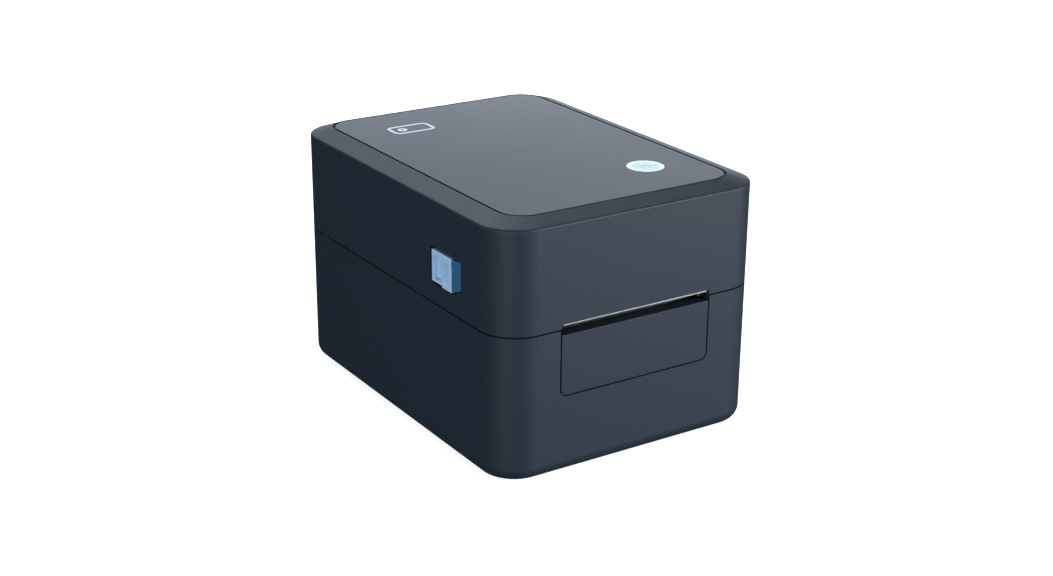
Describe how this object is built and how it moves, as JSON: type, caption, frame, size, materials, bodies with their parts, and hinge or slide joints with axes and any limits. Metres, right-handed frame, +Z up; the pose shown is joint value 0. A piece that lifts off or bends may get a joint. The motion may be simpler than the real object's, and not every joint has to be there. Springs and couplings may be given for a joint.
{
  "type": "thermal label printer",
  "caption": "Box-shaped desktop direct thermal label printer with a rear-hinged lid, side latches, a front label exit with a pull-off panel, and a lit feed button.",
  "frame": {"origin": "centre of the footprint, at the soles of the rubber feet", "axes": "+Z up, front with the label exit towards -Y, lid hinge towards +Y, +X to the right seen from the front"},
  "size_m": [0.2032, 0.272, 0.174],
  "materials": {
    "body_plastic": "satin dark slate moulded plastic",
    "panel_plastic": "fine-textured slate moulded plastic",
    "inner_plastic": "matt charcoal moulded plastic",
    "liner_plastic": "matt grey moulded plastic",
    "latch_dark": "satin dark blue plastic",
    "latch_blue": "satin light blue plastic",
    "holder_plastic": "satin grey nylon",
    "gear_plastic": "natural acetal",
    "foot_rubber": "matt black rubber",
    "roller_rubber": "fine-ground black silicone",
    "plated_steel": "zinc plated",
    "ground_steel": "ground bar",
    "screw_steel": "nickel plated",
    "spring_steel": "drawn wire",
    "tear_steel": "brushed stainless",
    "bearing_bronze": "sintered bronze",
    "sink_aluminium": "milled",
    "cast_aluminium": "cast",
    "stator_black": "black lacquered laminations",
    "head_ceramic": "glazed alumina with a brown heater line",
    "board_green": "solder-masked glass fibre",
    "chip_black": "epoxy",
    "capacitor_sleeve": "sleeved can",
    "port_metal": "tin plated",
    "port_plastic": "black nylon",
    "switch_plastic": "black",
    "connector_plastic": "natural nylon",
    "cable_sleeve": "black sleeve",
    "ring_light": "frosted light guide, lit",
    "button_face": "pale translucent cap, lit",
    "lamp_white": "moulded lamp"
  },
  "bodies": {
    "base": {"base_shell": "body_plastic", "bottom_plate": "inner_plastic", "rubber_feet": "foot_rubber", "media_tray": "inner_plastic", "latch_strikers": "ground_steel", "holder_rods": "ground_steel", "pinion_clip": "spring_steel", "side_frame_left": "plated_steel", "side_frame_right": "plated_steel", "frame_tie_rods": "plated_steel", "platen_bushings": "bearing_bronze", "idler_post": "ground_steel", "motor_end_caps": "cast_aluminium", "motor_stator": "stator_black", "motor_screws": "screw_steel", "motor_cable": "cable_sleeve", "main_board": "board_green", "board_chips": "chip_black", "board_capacitors": "capacitor_sleeve", "board_screws": "screw_steel", "usb_port": "port_metal", "dc_inlet": "port_plastic", "power_switch_frame": "switch_plastic", "base_screws": "screw_steel"},
    "front_panel": {"front_panel": "body_plastic"},
    "platen": {"platen_shaft": "ground_steel", "platen_rubber": "roller_rubber", "platen_gear": "gear_plastic"},
    "idler": {"idler_gear": "gear_plastic"},
    "motor_rotor": {"motor_shaft": "ground_steel", "motor_pinion": "bearing_bronze"},
    "holder_left": {"media_holder_left": "holder_plastic"},
    "holder_right": {"media_holder_right": "holder_plastic"},
    "rack_pinion": {"rack_pinion": "gear_plastic"},
    "gap_detector": {"sensor_carriage": "latch_dark"},
    "rocker": {"power_rocker": "switch_plastic"},
    "lid": {"lid_shell": "body_plastic", "lid_top_panel": "panel_plastic", "light_ring": "ring_light", "button_board": "board_green", "button_switch": "chip_black", "status_leds": "lamp_white", "button_screws": "screw_steel", "hinge_pins": "ground_steel", "lid_liner": "liner_plastic", "lid_screws": "screw_steel", "tear_bar": "tear_steel", "gap_sensor": "port_plastic", "head_frame": "plated_steel", "head_springs": "spring_steel"},
    "print_head": {"head_bracket": "plated_steel", "head_heatsink": "sink_aluminium", "head_strip": "head_ceramic", "head_connector": "connector_plastic", "head_pivot": "ground_steel"},
    "feed_button": {"feed_button": "button_face"},
    "latch": {"latch_levers": "latch_dark", "latch_pads": "latch_blue", "latch_shaft": "ground_steel", "latch_spring": "spring_steel"}
  },
  "joints": [
    {"name": "front_panel_pull", "type": "slide", "parent": "base", "child": "front_panel", "axis": [0, -1, 0], "range_m": [0, 0.014]},
    {"name": "platen_spin", "type": "hinge", "parent": "base", "child": "platen", "pos_m": [0, -0.112, 0.0925], "axis": [1, 0, 0], "continuous": true},
    {"name": "idler_spin", "type": "hinge", "parent": "base", "child": "idler", "pos_m": [0, -0.10324, 0.06844], "axis": [1, 0, 0], "continuous": true},
    {"name": "motor_spin", "type": "hinge", "parent": "base", "child": "motor_rotor", "pos_m": [0, -0.08445, 0.0616], "axis": [1, 0, 0], "continuous": true},
    {"name": "holder_left_slide", "type": "slide", "parent": "base", "child": "holder_left", "axis": [1, 0, 0], "range_m": [0, 0.045]},
    {"name": "holder_right_slide", "type": "slide", "parent": "base", "child": "holder_right", "axis": [-1, 0, 0], "range_m": [0, 0.045]},
    {"name": "rack_pinion_turn", "type": "hinge", "parent": "base", "child": "rack_pinion", "pos_m": [0, 0.04, 0.0165], "axis": [0, 0, 1], "range_deg": [0, 287]},
    {"name": "gap_detector_slide", "type": "slide", "parent": "base", "child": "gap_detector", "axis": [1, 0, 0], "range_m": [-0.045, 0.045]},
    {"name": "power_rocker_tilt", "type": "hinge", "parent": "base", "child": "rocker", "pos_m": [0.055, 0.1284, 0.032], "axis": [0, 0, 1], "range_deg": [0, 18]},
    {"name": "lid_hinge", "type": "hinge", "parent": "base", "child": "lid", "pos_m": [0, 0.129, 0.10825], "axis": [-1, 0, 0], "range_deg": [0, 85]},
    {"name": "print_head_tilt", "type": "hinge", "parent": "lid", "child": "print_head", "pos_m": [0, -0.084, 0.112], "axis": [-1, 0, 0], "range_deg": [0, 2], "stiffness_Nm_per_rad": 6, "springref_deg": -5.73, "deforming": ["head_springs"]},
    {"name": "feed_button_press", "type": "slide", "parent": "lid", "child": "feed_button", "axis": [0, 0, -1], "range_m": [0, 0.0008], "stiffness_N_per_m": 900, "springref_m": -0.0006},
    {"name": "latch_pull", "type": "hinge", "parent": "lid", "child": "latch", "pos_m": [0, -0.07, 0.152], "axis": [-1, 0, 0], "range_deg": [0, 5], "stiffness_Nm_per_rad": 2, "springref_deg": -6.88}
  ],
  "couplings": [
    {"joint": "idler_spin", "follows": "platen_spin", "ratio": -0.68421},
    {"joint": "motor_spin", "follows": "platen_spin", "ratio": 2.1667},
    {"joint": "holder_right_slide", "follows": "holder_left_slide", "ratio": 1},
    {"joint": "rack_pinion_turn", "follows": "holder_left_slide", "rad_per_m": 111.11}
  ]
}
